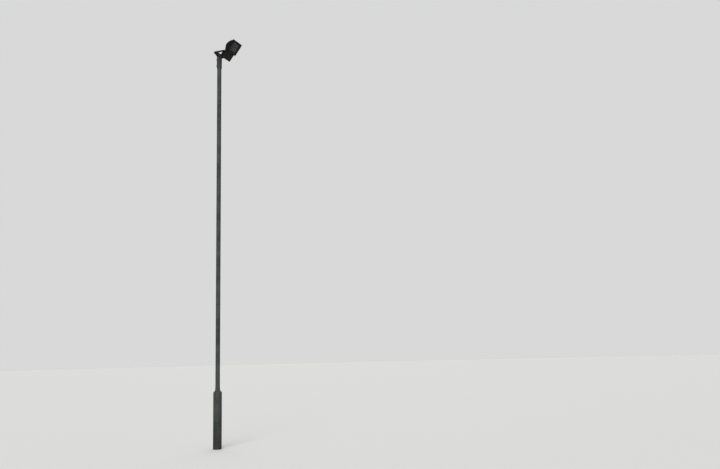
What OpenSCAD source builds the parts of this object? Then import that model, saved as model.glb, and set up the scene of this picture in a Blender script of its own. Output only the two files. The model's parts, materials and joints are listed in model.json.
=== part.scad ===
// Floodlight column: a stepped tubular steel column, a sleeve bracket that turns on its top,
// and one floodlight in a stirrup, aimed down along +X. +Z is up, and the origin is the
// column's axis at ground level. The lamp is modelled lying down and then set at its aim.

/* [Column] */
// Height of the shaft's top above ground
column_h = 8000; // [5000:100:10000]
// Outer diameter of the base tube
base_d = 168.3; // [150:0.1:193.7]
// Wall of the base tube
base_wall = 4.5; // [3:0.1:6.3]
// Height of the base tube above ground
base_h = 1080; // [900:10:1400]
// Outer diameter of the shaft
shaft_d = 88.9; // [76.1:0.1:91]
// Wall of the shaft
shaft_wall = 3.6; // [3:0.1:5]
// Height of the slope between the two tubes
shoulder_h = 45; // [40:5:90]
// Height of the straight neck that holds the shaft
neck_h = 30; // [20:5:60]
// How far the shaft reaches below the neck
shaft_below_neck = 40; // [20:5:100]

/* [Base door] */
// Width of the door opening
door_w = 110; // [90:5:115]
// Height of the door opening
door_h = 500; // [400:10:520]
// Distance from the opening's upper edge to the base tube's top
door_drop = 120; // [60:5:200]
// Corner radius of the opening
door_r = 22; // [10:1:40]
// Gap all round the door
door_gap = 1.5; // [1:0.1:3]
// Direction that the door faces, turned from +X
door_turn = -90; // [-180:15:180]
// Diameter of the door lock
lock_d = 24; // [20:1:30]
// Diameter of the key recess in the lock
key_recess_d = 14; // [12:1:18]
// Width of the three-sided key
key_d = 8.6; // [6:0.2:9]
// Width of the bar behind the lock
lock_bar_w = 18; // [12:1:18]
// Distance from the lock to the door's upper edge
lock_drop = 42; // [36:1:60]
// Width of the tongue at the door's lower edge
tongue_w = 46; // [30:1:70]
// Thickness of the tongue and of the lock's bar
catch_t = 4; // [3:0.5:6]
// How far the tongue and the bar reach behind the wall
catch_reach = 22; // [15:1:35]

/* [Sleeve bracket] */
// Clearance between the shaft and the sleeve
sleeve_clear = 3.5; // [1:0.1:5]
// Wall of the sleeve
sleeve_wall = 5; // [4:0.5:6]
// Length of the sleeve
sleeve_len = 235; // [180:5:300]
// Thickness of the cap on the sleeve
cap_t = 6; // [5:0.5:10]
// Diameter of the clamping screws
set_screw_d = 10; // [8:1:12]
// Screws in each ring
set_screws = 3; // [3:1:4]
// Height of a screw's boss outside the sleeve
screw_boss_h = 6; // [4:0.5:10]
// Distance from the sleeve's ends to the rings of screws
screw_ring_inset = 52; // [35:1:70]
// Gap between a screw's tip and the shaft
tip_gap = 0.2; // [0.1:0.1:0.5]

/* [Mounting plate] */
// Width of the upright plate on the cap
plate_w = 86; // [80:1:90]
// Width of the plate's upper edge
plate_top_w = 170; // [100:5:190]
// Width of the plate's wings along the stirrup
wings_w = 250; // [200:5:300]
// Thickness of the upright plate
plate_t = 8; // [6:0.5:12]
// Height of the plate above the stirrup's centre line
plate_above = 56; // [34:1:60]
// Thickness of the two gussets
gusset_t = 5; // [4:0.5:8]
// Distance between the gussets' centres
gusset_gap = 58; // [44:1:66]
// Diameter of the stirrup's bolts
stirrup_bolt_d = 12; // [10:1:14]
// Distance between the stirrup's bolts
stirrup_bolt_gap = 44; // [40:1:56]
// Outer diameter of the cable grommet
grommet_d = 26; // [20:1:30]
// Bore of the cable grommet
grommet_bore = 12; // [8:1:14]

/* [Stirrup] */
// Height of the stirrup's centre line above the cap
stirrup_lift = 56; // [44:1:70]
// Width of the stirrup's flat bar
bar_w = 36; // [34:1:42]
// Thickness of the flat bar
bar_t = 5; // [4:0.5:8]
// Gap between each arm and the housing's side
arm_gap = 14; // [8:1:30]
// Distance from the column's axis back to the stirrup's rear face
strap_back = 35; // [30:1:38]
// Reach from the column's axis to the pivots
stirrup_reach = 227; // [220:1:320]
// Inner radius of the bends
bend_r = 9; // [5:1:20]

/* [Lamp] */
// Aim of the lamp below the horizontal
aim_deg = 38; // [0:1:90]
// Width of the housing
housing_w = 290; // [270:1:310]
// Distance from the pivots to the housing's top end
housing_up = 274; // [264:1:290]
// Distance from the pivots to the housing's gear end
housing_down = 144; // [130:1:165]
// Distance from the pivots to the housing's front plane
rim_z = 28; // [20:1:34]
// Depth of the lamp chamber behind the front plane
bowl_depth = 106; // [98:1:112]
// Depth of the top end behind the front plane
end_depth = 36; // [28:1:44]
// Length of the flat part of the lamp chamber's back
bowl_flat = 80; // [76:1:90]
// Distance from the top end to the flat part of the back
bowl_slope = 88; // [80:1:98]
// Depth of the waist at the pivots behind the front plane
waist_depth = 54; // [46:1:60]
// Depth of the gear chamber behind the front plane
gear_depth = 84; // [76:1:92]
// Distance from the pivots down to where the gear chamber's slope starts
gear_start = 10; // [6:1:20]
// Length of the slope from the waist to the gear chamber's back
gear_slope = 30; // [24:1:36]
// Radius of the casting's long edges
edge_r = 18; // [12:1:20]
// Wall of the housing
housing_wall = 4; // [3:0.5:6]
// Diameter of the pivot bosses
boss_d = 32; // [28:1:36]
// Gap between a boss and its arm
boss_gap = 0.5; // [0.3:0.1:1]
// Diameter of the pivot bolts
pivot_bolt_d = 12; // [10:1:14]
// Clearance round each pivot bolt in its arm
pivot_clear = 0.3; // [0.2:0.1:0.5]
// Number of cooling ribs on the gear chamber
rib_count = 7; // [3:2:9]
// Distance between neighbouring ribs
rib_pitch = 23; // [16:1:26]
// Height of the cooling ribs
rib_h = 9; // [5:1:14]
// Thickness of the cooling ribs
rib_t = 4; // [3:0.5:6]

/* [Front frame] */
// How far the frame reaches past the housing's sides and top end
frame_over = 20; // [12:1:22]
// Thickness of the front frame
frame_t = 26; // [22:1:30]
// Gap between the arms' ends and the frame's lower edge
frame_gap = 4; // [1:0.5:6]
// Width of the frame's sides beside the glass
frame_side = 46; // [36:1:54]
// Width of the frame's upper and lower bars
frame_bar = 41; // [34:1:50]
// Chamfer round the frame's front edge
frame_chamfer = 5; // [3:1:10]
// Thickness of the glass
glass_t = 5; // [4:0.5:6]
// Width of the ledge that the glass rests on
glass_ledge = 8; // [5:1:10]
// Depth from the frame's front to the glass
glass_recess = 6; // [4:0.5:10]
// Height of the gasket under the frame
gasket_h = 4; // [3:0.5:6]
// Width of the gasket
gasket_w = 7; // [5:0.5:9]
// Distance from the middle to each hinge and captive screw
hinge_y = 100; // [80:1:120]
// Diameter of the hinge pins
hinge_pin_d = 5; // [4:0.5:6]
// Outer diameter of the hinge knuckles
knuckle_d = 12; // [11:1:14]
// Width of the hinge knuckles
knuckle_w = 12; // [10:1:18]
// Clearance at the hinges
hinge_clear = 0.3; // [0.2:0.1:0.5]
// Diameter of the frame's captive screws
captive_d = 5; // [4:0.5:6]

/* [Optics and gear] */
// Thickness of the reflector sheet
reflector_t = 1.5; // [1:0.1:2.5]
// Distance from the frame's opening in to the reflector's mouth
mouth_inset = 3; // [1:0.5:6]
// How far the reflector's shallow end is pulled down
reflector_rise = 42; // [34:1:48]
// How far along the reflector that pull acts
reflector_run = 63; // [50:1:76]
// How far the reflector's deep end is pulled down
reflector_pull = 140; // [120:1:150]
// How far before the mouth's lower edge that pull acts
reflector_lean = 11; // [5:1:20]
// Slope of the reflector's ends, inwards by this much at the bottom
reflector_taper = 36; // [28:1:44]
// Diameter of the lamp's glass tube
lamp_d = 36; // [26:1:40]
// Length of the lamp's glass tube
lamp_len = 118; // [90:1:122]
// Distance from the mouth's lower edge to the lamp
lamp_from_edge = 46; // [40:1:56]
// Depth of the lamp behind the mouth
lamp_depth = 38; // [34:1:42]
// Diameter of the lamp holder
holder_d = 42; // [34:1:46]
// Thickness of the gear cover's edge
cover_t = 3; // [2:0.5:5]
// Height of the gear cover's raised middle
cover_rise = 3; // [2:0.5:5]
// Distance from the housing's edges to the cover's edge
cover_inset = 2; // [1:0.5:3]
// Diameter of the cover screws' heads
cover_screw_d = 9; // [7:1:12]
// Diameter of the cable gland
gland_d = 24; // [18:1:28]
// Length of the cable gland outside the housing
gland_len = 30; // [20:1:40]
// Distance from the housing's side to the cable gland
gland_from_side = 41; // [33:1:49]
// Distance from the gear end to the cable gland
gland_from_end = 44; // [34:1:54]

/* [Hidden] */

// Finish of round surfaces, and steps in a rounded corner
round_fn = 64;
corner_steps = 6;
edge_steps = 4;
cut = 1;

// Colours of the finishes
galvanised = [0.55, 0.57, 0.57];
bolt_steel = [0.62, 0.62, 0.6];
lamp_black = [0.09, 0.09, 0.09];
bracket_black = [0.11, 0.11, 0.11];
cover_black = [0.14, 0.14, 0.14];
mirror_sheet = [0.8, 0.8, 0.78];
clear_glass = [0.55, 0.58, 0.5, 0.5];
rubber_black = [0.06, 0.06, 0.06];
ceramic_white = [0.9, 0.9, 0.87];

// Column
base_r = base_d / 2;
base_bore_r = base_r - base_wall;
shaft_r = shaft_d / 2;
neck_wall = base_wall;
neck_r = shaft_r + neck_wall;
shoulder_foot = 6;
shoulder_r = 12;
neck_fillet_r = 8;
neck_edge_r = 2;
shoulder_top = base_h + shoulder_h;
neck_top = shoulder_top + neck_h;
shaft_bottom = shoulder_top - shaft_below_neck;
door_top = base_h - door_drop;
door_z = door_top - door_h;
lock_z = door_top - lock_drop;
bar_face_r = sqrt(pow(base_bore_r, 2) - pow(lock_bar_w / 2, 2));
lock_head_h = 3;
key_depth = 7;
key_below_head = 1;
lock_bar_r = 5;
tongue_r = 8;

// Sleeve bracket
sleeve_bore_r = shaft_r + sleeve_clear;
sleeve_r = sleeve_bore_r + sleeve_wall;
sleeve_bottom = column_h - sleeve_len;
cap_top = column_h + cap_t;
screw_boss_d = set_screw_d * 2;
screw_head_h = set_screw_d * 0.6;
upper_ring_z = column_h - screw_ring_inset;
lower_ring_z = sleeve_bottom + screw_ring_inset;
screw_turn = -30;
nut_ratio = 1.7;
washer_ratio = 2.2;
washer_t = 2.5;
bolt_past_nut = 4;

// Stirrup and mounting plate
pivot_x = stirrup_reach;
pivot_z = cap_top + stirrup_lift;
arm_in = housing_w / 2 + arm_gap;
arm_out = arm_in + bar_t;
plate_x0 = bar_t - strap_back;
plate_x1 = plate_x0 + plate_t;
plate_top = pivot_z + plate_above;
plate_top_r = 16;
wing_z0 = pivot_z - bar_w / 2;
wing_z1 = pivot_z + bar_w / 2;
wing_r = 6;
nut_r = stirrup_bolt_d * nut_ratio / 2;
bolt_head_h = stirrup_bolt_d * 0.6;
nut_h = stirrup_bolt_d * 0.8;
nut_room = 3;
gusset_h = stirrup_lift - nut_r - nut_room;
gusset_y = gusset_gap / 2;
cap_edge = 1;
gusset_x1 = sqrt(pow(sleeve_r - cap_edge, 2) - pow(gusset_y + gusset_t / 2, 2));
gusset_nose = 8;
grommet_x = (plate_x1 + gusset_x1) / 2;
grommet_lip = 3;
pivot_head_h = pivot_bolt_d * 0.65;

// Lamp, lying on its back: +X towards the gear end, +Z out of the glass, origin on the pivots
above = rim_z + bowl_depth;
frame_w = housing_w + 2 * frame_over;
frame_rear = rim_z + gasket_h;
frame_front = frame_rear + frame_t;
frame_x0 = -housing_up - frame_over;
frame_x1 = -bar_w / 2 - frame_gap;
frame_corner_r = 10;
sight_r = 8;
glass_clear = 1;
pin_past_lug = 1;
top_end_r = edge_r + 4;
gear_end_r = edge_r + 4;
gear_back_r = edge_r + 4;
gear_foot = 4;
bowl_z = rim_z - bowl_depth;
waist_z = rim_z - waist_depth;
gear_z = rim_z - gear_depth;
partition_under_frame = 12;
partition_past_frame = 22;
partition_x0 = frame_x1 - partition_under_frame;
partition_x1 = frame_x1 + partition_past_frame;
bowl_end_rise = 16;
bowl_x1 = partition_x1 + 14;
bowl_flat_x0 = bowl_slope - housing_up;
bowl_flat_x1 = bowl_flat_x0 + bowl_flat;
bowl_top_share = 0.65;
bowl_low_share = 0.33;
bowl_top_turn = atan2(bowl_depth - end_depth, bowl_slope);
bowl_low_turn = atan2(waist_z + bowl_end_rise - bowl_z, bowl_x1 - bowl_flat_x1);
bowl_top_r = bowl_flat * bowl_top_share / tan(bowl_top_turn / 2);
bowl_low_r = bowl_flat * bowl_low_share / tan(bowl_low_turn / 2);
waist_x0 = partition_x0 + housing_wall;
gear_x0 = gear_start + gear_slope;
waist_x1 = gear_x0 + edge_r;
bowl_pts = [
    [-housing_up, above], [-housing_up, rim_z - end_depth], [bowl_flat_x0, bowl_z],
    [bowl_flat_x1, bowl_z], [bowl_x1, waist_z + bowl_end_rise], [bowl_x1, above]
];
bowl_radii = [0, top_end_r, bowl_top_r, bowl_low_r, 0, 0];
waist_pts = [[waist_x0, above], [waist_x0, waist_z], [waist_x1, waist_z], [waist_x1, above]];
waist_radii = [0, 0, 0, 0];
gear_pts = [
    [gear_start, above], [gear_start, waist_z + gear_foot], [gear_x0, gear_z],
    [housing_down, gear_z], [housing_down, above]
];
gear_radii = [0, 0, gear_back_r, gear_end_r, 0];
flange_t = 6;
hinge_out = 3;
hinge_x = frame_x1 + knuckle_d / 2 + hinge_out;
hinge_z = frame_rear + frame_t / 2;
lug_t = 5;
lug_in = knuckle_w / 2 + hinge_clear;
captive_inset = 11;
captive_x = frame_x0 + captive_inset;
captive_hole_d = captive_d + 3;
captive_head_h = 3;
ear_wall = 4;
ear_r = captive_hole_d / 2 + ear_wall;
ear_t = 8;
ear_reach = housing_wall - housing_up - captive_x;
boss_y = arm_in - boss_gap;
boss_depth = 8;
boss_in = housing_w / 2 - boss_depth;
rib_x0 = gear_x0;
rib_x1 = housing_down - gear_end_r - rib_h;

// Optics
mouth_below_rim = 2;
mouth_z = rim_z - mouth_below_rim;
mouth_x0 = frame_x0 + frame_bar + mouth_inset;
mouth_x1 = frame_x1 - frame_bar - mouth_inset;
mouth_y = frame_w / 2 - frame_side - mouth_inset;
floor_y = mouth_y - reflector_taper;
curve_steps = 28;
curve_ends = [
    [mouth_x0, mouth_z], [mouth_x0 + reflector_run, mouth_z - reflector_rise],
    [mouth_x1 - reflector_lean, mouth_z - reflector_pull], [mouth_x1, mouth_z]
];
floor_z = min([for (p = curve_pts(0)) p[1]]);
end_slope = reflector_taper / (mouth_z - floor_z);
end_flange_y0 = mouth_y - reflector_t;
end_flange_y1 = housing_w / 2 - housing_wall;
holder_gap = 1;
lamp_x = mouth_x1 - lamp_from_edge;
lamp_z = mouth_z - lamp_depth;
holder_y = floor_y + end_slope * (lamp_z - holder_d / 2 - floor_z) - holder_gap;
holder_len = 26;

// Gear cover and gland
cover_lap = 4;
cover_x0 = partition_x1 - cover_lap;
cover_x1 = housing_down - cover_inset;
cover_w = housing_w - 2 * cover_inset;
cover_r = edge_r - cover_inset;
screw_in = 12;
cover_top_r = 4;
cover_screw_h = 2.5;
cover_step = 14;
screw_edge = 7;
gland_x = housing_down - gland_from_end;
gland_y = housing_w / 2 - gland_from_side;
gland_stem_d = gland_d * 0.6;
gland_bore = gland_d * 0.36;

// A corner rounded by an arc from the side towards a to the side towards b
function unit(v) = v / norm(v);
function turned(v, deg) = [v[0] * cos(deg) - v[1] * sin(deg), v[0] * sin(deg) + v[1] * cos(deg)];
function corner(a, p, b, r) =
    let (
        u = unit(a - p),
        w = unit(b - p),
        half = acos(u * w) / 2,
        start = p + u * r / tan(half),
        centre = p + unit(u + w) * r / sin(half),
        sweep = (180 - 2 * half) * (cross(u, w) < 0 ? 1 : -1)
    )
    [for (i = [0:corner_steps]) centre + turned(start - centre, sweep * i / corner_steps)];

// An outline whose corners are rounded, each by its own radius
function rounded(pts, radii) =
    let (n = len(pts))
    [for (i = [0:n - 1])
        each radii[i] > 0 ? corner(pts[(i + n - 1) % n], pts[i], pts[(i + 1) % n], radii[i]) : [pts[i]]];

// An outline moved inwards by w on every side
function inward(p, q) = let (u = unit(q - p)) [-u[1], u[0]];
function inset(pts, w) =
    let (n = len(pts))
    [for (i = [0:n - 1])
        let (
            before = inward(pts[(i + n - 1) % n], pts[i]),
            after = inward(pts[i], pts[(i + 1) % n])
        )
        pts[i] + w * (before + after) / (1 + before * after)];

// A rectangle from corner a to corner b with one corner radius
function rectangle(a, b, r) = rounded([a, [b[0], a[1]], b, [a[0], b[1]]], [r, r, r, r]);

// Extrudes an X-Z outline along Y, from y0 to y1
module along_y(pts, y0, y1)
    translate([0, y1, 0]) rotate([90, 0, 0]) linear_extrude(y1 - y0) polygon(pts);

// Extrudes a Y-Z outline along X, from x0 to x1
module along_x(pts, x0, x1)
    translate([x0, 0, 0]) rotate([90, 0, 90]) linear_extrude(x1 - x0) polygon(pts);

// Extrudes an X-Y outline along Z, from z0 to z1
module along_z(pts, z0, z1)
    translate([0, 0, z0]) linear_extrude(z1 - z0) polygon(pts);

module tube(r_out, r_in, z0, z1)
    translate([0, 0, z0])
        difference() {
            cylinder(r = r_out, h = z1 - z0, $fn = round_fn);
            translate([0, 0, -cut]) cylinder(r = r_in, h = z1 - z0 + 2 * cut, $fn = round_fn);
        }

// A round bar along Y
module bar_y(d, y0, y1, sides = round_fn)
    translate([0, y0, 0]) rotate([-90, 0, 0]) cylinder(d = d, h = y1 - y0, $fn = sides);

// A round bar along X
module bar_x(d, x0, x1, sides = round_fn)
    translate([x0, 0, 0]) rotate([0, 90, 0]) cylinder(d = d, h = x1 - x0, $fn = sides);

// Column

// The door's outline, pushed out from the axis towards the side that it faces
module door_block(shrink, from_r, to_r)
    rotate([0, 0, door_turn])
        along_x(rectangle([-door_w / 2 + shrink, door_z + shrink],
                          [door_w / 2 - shrink, door_top - shrink], door_r - shrink), from_r, to_r);

module base_tube()
    color(galvanised)
        difference() {
            tube(base_r, base_bore_r, 0, base_h);
            door_block(0, base_bore_r / 2, base_r + cut);
        }

// A pressed cone between the tubes, with a short straight neck that holds the shaft
module shoulder()
    color(galvanised)
        rotate_extrude($fn = round_fn)
            polygon(rounded([
                [base_bore_r, base_h], [base_r, base_h], [base_r, base_h + shoulder_foot],
                [neck_r, shoulder_top], [neck_r, neck_top], [shaft_r, neck_top],
                [shaft_r, shoulder_top - neck_wall], [base_bore_r, base_h + shoulder_foot - neck_wall / 2]
            ], [0, 0, shoulder_r, neck_fillet_r, neck_edge_r, 0, 0, 0]));

module shaft()
    color(galvanised) tube(shaft_r, shaft_r - shaft_wall, shaft_bottom, column_h);

module base_door()
    color(galvanised)
        difference() {
            intersection() {
                tube(base_r, base_bore_r, door_z, door_top);
                door_block(door_gap, base_bore_r / 2, base_r + cut);
            }
            rotate([0, 0, door_turn])
                translate([0, 0, lock_z]) bar_x(lock_d, base_bore_r / 2, base_r + cut);
        }

// A curved strip welded inside the door that hooks behind the wall under the opening
module door_tongue()
    color(galvanised)
        intersection() {
            tube(base_bore_r, base_bore_r - catch_t, door_z - catch_reach, door_z + 2 * catch_reach);
            rotate([0, 0, door_turn])
                along_x(rectangle([-tongue_w / 2, door_z - catch_reach],
                                  [tongue_w / 2, door_z + 2 * catch_reach], tongue_r),
                        base_bore_r / 2, base_r);
        }

// A round lock flush in the door, with a three-sided key hole and a bar behind the wall
module door_lock()
    color(bolt_steel)
        rotate([0, 0, door_turn])
            translate([0, 0, lock_z]) {
                difference() {
                    bar_x(lock_d, bar_face_r, base_r + lock_head_h);
                    bar_x(key_recess_d, base_r + lock_head_h - key_depth, base_r + lock_head_h + cut);
                }
                bar_x(key_d, bar_face_r, base_r + lock_head_h - key_below_head, 3);
                along_x(rectangle([-lock_bar_w / 2, -lock_d / 2], [lock_bar_w / 2, lock_drop + catch_reach],
                                  lock_bar_r), bar_face_r - catch_t, bar_face_r);
            }

// Sleeve bracket

module around_ring(z)
    for (i = [0:set_screws - 1])
        translate([0, 0, z]) rotate([0, 0, screw_turn + i * 360 / set_screws]) children();

module bracket_sleeve()
    color(galvanised)
        difference() {
            union() {
                cylinder_at(sleeve_r, sleeve_bottom, column_h);
                around_ring(upper_ring_z) bar_x(screw_boss_d, sleeve_bore_r, sleeve_r + screw_boss_h);
                around_ring(lower_ring_z) bar_x(screw_boss_d, sleeve_bore_r, sleeve_r + screw_boss_h);
            }
            cylinder_at(sleeve_bore_r, sleeve_bottom - cut, column_h + cut);
            around_ring(upper_ring_z) bar_x(set_screw_d, 0, sleeve_r + screw_boss_h + cut);
            around_ring(lower_ring_z) bar_x(set_screw_d, 0, sleeve_r + screw_boss_h + cut);
        }

module cylinder_at(r, z0, z1)
    translate([0, 0, z0]) cylinder(r = r, h = z1 - z0, $fn = round_fn);

module set_screw_ring(z)
    color(bolt_steel)
        around_ring(z) {
            bar_x(set_screw_d, shaft_r + tip_gap, sleeve_r + screw_boss_h);
            bar_x(set_screw_d * nut_ratio, sleeve_r + screw_boss_h,
                  sleeve_r + screw_boss_h + screw_head_h, 6);
        }

module sleeve_cap()
    color(galvanised)
        difference() {
            cylinder_at(sleeve_r, column_h, cap_top);
            translate([grommet_x, 0, 0])
                cylinder_at(grommet_d / 2 - grommet_lip, column_h - cut, cap_top + cut);
        }

// A rubber ring in the cap where the supply cable comes out
module cable_grommet()
    color(rubber_black)
        translate([grommet_x, 0, 0])
            tube(grommet_d / 2 - grommet_lip, grommet_bore / 2, column_h, cap_top);

module stirrup_bolt_places()
    for (side = [-1, 1])
        translate([0, side * stirrup_bolt_gap / 2, pivot_z]) children();

// An upright plate on the cap, spread by wings along the stirrup that is bolted to it
module mounting_plate()
    color(bracket_black)
        difference() {
            along_x(rounded([
                [-plate_w / 2, cap_top], [plate_w / 2, cap_top],
                [wings_w / 2, wing_z0], [wings_w / 2, wing_z1],
                [plate_top_w / 2, plate_top], [-plate_top_w / 2, plate_top],
                [-wings_w / 2, wing_z1], [-wings_w / 2, wing_z0]
            ], [0, 0, wing_r, wing_r, plate_top_r, plate_top_r, wing_r, wing_r]), plate_x0, plate_x1);
            stirrup_bolt_places() bar_x(stirrup_bolt_d, plate_x0 - cut, plate_x1 + cut);
        }

module gusset(y)
    color(bracket_black)
        along_y([[plate_x1, cap_top], [gusset_x1, cap_top], [gusset_x1, cap_top + gusset_nose],
                 [plate_x1 + gusset_nose, cap_top + gusset_h], [plate_x1, cap_top + gusset_h]],
                y - gusset_t / 2, y + gusset_t / 2);

module near_gusset() gusset(-gusset_y);

module far_gusset() gusset(gusset_y);

// Stirrup

// A flat bar on edge, bent into a U, with the ends of its arms rounded about the pivots
module stirrup()
    color(bracket_black)
        difference() {
            intersection() {
                along_z(rounded([[-strap_back, -arm_out], [pivot_x + bar_w, -arm_out],
                                 [pivot_x + bar_w, -arm_in], [plate_x0, -arm_in],
                                 [plate_x0, arm_in], [pivot_x + bar_w, arm_in],
                                 [pivot_x + bar_w, arm_out], [-strap_back, arm_out]],
                                [bend_r + bar_t, 0, 0, bend_r, bend_r, 0, 0, bend_r + bar_t]),
                        pivot_z - bar_w / 2, pivot_z + bar_w / 2);
                union() {
                    along_y(rectangle([-strap_back - cut, pivot_z - bar_w], [pivot_x, pivot_z + bar_w], 0),
                            -arm_out - cut, arm_out + cut);
                    translate([pivot_x, 0, pivot_z]) bar_y(bar_w, -arm_out - cut, arm_out + cut);
                }
            }
            stirrup_bolt_places() bar_x(stirrup_bolt_d, -strap_back - cut, plate_x0 + cut);
            translate([pivot_x, 0, pivot_z])
                bar_y(pivot_bolt_d + 2 * pivot_clear, -arm_out - cut, arm_out + cut);
        }

// Bolts put in from behind, each with a washer under its head
module stirrup_bolts()
    color(bolt_steel)
        stirrup_bolt_places() {
            bar_x(stirrup_bolt_d, -strap_back - washer_t, plate_x1 + nut_h + bolt_past_nut);
            bar_x(stirrup_bolt_d * washer_ratio, -strap_back - washer_t, -strap_back);
            bar_x(2 * nut_r, -strap_back - washer_t - bolt_head_h, -strap_back - washer_t, 6);
        }

module stirrup_nuts()
    color(bolt_steel)
        stirrup_bolt_places()
            difference() {
                bar_x(2 * nut_r, plate_x1, plate_x1 + nut_h, 6);
                bar_x(stirrup_bolt_d, plate_x1 - cut, plate_x1 + nut_h + cut);
            }

// Lamp

// Carries a lamp piece from lying on its back to its aim between the arms
module aimed() translate([pivot_x, 0, pivot_z]) rotate([0, 90 + aim_deg, 0]) children();

// The places across the casting where its side outline is drawn, each with how far it is drawn in
function side_rings(wall) =
    let (
        r = edge_r - wall,
        turns = [for (k = [0:edge_steps]) 90 * k / edge_steps],
        near = [for (t = turns) [r * (1 - cos(t)) + wall - housing_w / 2, r * (1 - sin(t)) + wall]]
    )
    concat(near, [for (k = [edge_steps:-1:0]) [-near[k][0], near[k][1]]]);

// One chamber of the casting: its side outline, drawn in towards both sides so that all edges are round
module chamber_form(pts, radii, wall) {
    outline = rounded(pts, radii);
    rings = side_rings(wall);
    n = len(outline);
    last = len(rings) - 1;
    polyhedron(
        [for (ring = rings, p = inset(outline, ring[1])) [p[0], ring[0], p[1]]],
        concat(
            [[for (i = [n - 1:-1:0]) i]],
            [for (j = [0:last - 1], i = [0:n - 1])
                [j * n + i, j * n + (i + 1) % n, (j + 1) * n + (i + 1) % n, (j + 1) * n + i]],
            [[for (i = [0:n - 1]) last * n + i]]
        )
    );
}

// The casting's outer form up to the rim, or the form of its inside where the walls are set in
module housing_form(wall)
    intersection() {
        union() {
            chamber_form(bowl_pts, bowl_radii, wall);
            chamber_form(waist_pts, waist_radii, wall);
            chamber_form(gear_pts, gear_radii, wall);
        }
        along_z(rectangle([-2 * housing_up, -housing_w], [2 * housing_up, housing_w], 0),
                -2 * bowl_depth, rim_z + (wall > 0 ? cut : 0));
    }

module captive_places()
    for (side = [-1, 1]) translate([captive_x, side * hinge_y, 0]) children();

module rib(y)
    along_y(rounded([[rib_x0, gear_z + housing_wall / 2], [rib_x0 + 2 * rib_h, gear_z - rib_h],
                     [rib_x1 - 2 * rib_h, gear_z - rib_h], [rib_x1, gear_z + housing_wall / 2]],
                    [0, rib_h, rib_h, 0]), y - rib_t / 2, y + rib_t / 2);

// A pivot boss: outside the casting a full round, inside it flush with the rim
module pivot_bosses()
    for (side = [0, 180])
        rotate([0, 0, side]) {
            bar_y(boss_d, housing_w / 2 - housing_wall / 2, boss_y);
            intersection() {
                bar_y(boss_d, boss_in, housing_w / 2);
                along_z(rectangle([-boss_d, 0], [boss_d, housing_w], 0), -boss_d, rim_z);
            }
        }

// The room of the two chambers, with a flange left over the wall between them
module chambers()
    intersection() {
        housing_form(housing_wall);
        union() {
            along_z(rectangle([-2 * housing_up, -housing_w], [partition_x0, housing_w], 0),
                    -2 * bowl_depth, rim_z + cut);
            along_z(rectangle([partition_x1, -housing_w], [2 * housing_down, housing_w], 0),
                    -2 * bowl_depth, rim_z + cut);
            along_z(rectangle([partition_x0 + housing_wall, -housing_w], [2 * housing_down, housing_w], 0),
                    -2 * bowl_depth, rim_z - flange_t);
        }
    }

// The die-cast housing: a lamp chamber, a gear chamber, pivot bosses, screw ears and ribs
module lamp_housing()
    color(lamp_black) aimed()
        difference() {
            union() {
                difference() {
                    housing_form(0);
                    chambers();
                }
                pivot_bosses();
                captive_places() {
                    cylinder_at(ear_r, rim_z - ear_t, rim_z);
                    along_z(rectangle([0, -ear_r], [ear_reach, ear_r], 0), rim_z - ear_t, rim_z);
                }
                for (i = [0:rib_count - 1]) rib((i - (rib_count - 1) / 2) * rib_pitch);
            }
            captive_places() cylinder_at(captive_hole_d / 2, rim_z - ear_t - cut, rim_z + cut);
            bar_y(pivot_bolt_d, -boss_y - cut, -boss_in + cut);
            bar_y(pivot_bolt_d, boss_in - cut, boss_y + cut);
            translate([gland_x, gland_y, 0])
                cylinder_at(gland_stem_d / 2, gear_z - cut, gear_z + 2 * housing_wall);
        }

// A hexagon-head bolt with a washer, out from the housing through one arm
module pivot_bolt(side)
    color(bolt_steel) aimed()
        rotate([0, 0, side > 0 ? 0 : 180]) {
            bar_y(pivot_bolt_d, boss_in, arm_out + pivot_clear + washer_t);
            bar_y(pivot_bolt_d * washer_ratio, arm_out + pivot_clear, arm_out + pivot_clear + washer_t);
            bar_y(pivot_bolt_d * nut_ratio, arm_out + pivot_clear + washer_t,
                  arm_out + pivot_clear + washer_t + pivot_head_h, 6);
        }

module near_pivot_bolt() pivot_bolt(-1);

module far_pivot_bolt() pivot_bolt(1);

// A point of the reflector's curve, the curve's direction there, and the curve moved outwards
function curve_at(t) = pow(1 - t, 3) * curve_ends[0] + 3 * pow(1 - t, 2) * t * curve_ends[1]
    + 3 * (1 - t) * t * t * curve_ends[2] + pow(t, 3) * curve_ends[3];
function curve_way(t) = unit(pow(1 - t, 2) * (curve_ends[1] - curve_ends[0])
    + 2 * (1 - t) * t * (curve_ends[2] - curve_ends[1]) + t * t * (curve_ends[3] - curve_ends[2]));
function curve_pts(out) = [for (i = [0:curve_steps])
    let (t = i / curve_steps, way = curve_way(t)) curve_at(t) + out * [way[1], -way[0]]];
function reversed(pts) = [for (i = [len(pts) - 1:-1:0]) pts[i]];

// A polished sheet bent to a trough, deep by the lamp, with flanges to the chamber's walls
module reflector()
    color(mirror_sheet) aimed() {
        intersection() {
            along_y(concat(curve_pts(0), reversed(curve_pts(reflector_t))), -housing_w, housing_w);
            along_x([[-floor_y, floor_z - reflector_t], [floor_y, floor_z - reflector_t],
                     [mouth_y, mouth_z], [-mouth_y, mouth_z]],
                    -2 * housing_up, 2 * housing_up);
        }
        along_z(rectangle([housing_wall - housing_up, -mouth_y], [mouth_x0, mouth_y], 0),
                mouth_z - reflector_t, mouth_z);
        along_z(rectangle([mouth_x1, -mouth_y], [partition_x0, mouth_y], 0),
                mouth_z - reflector_t, mouth_z);
    }

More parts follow.
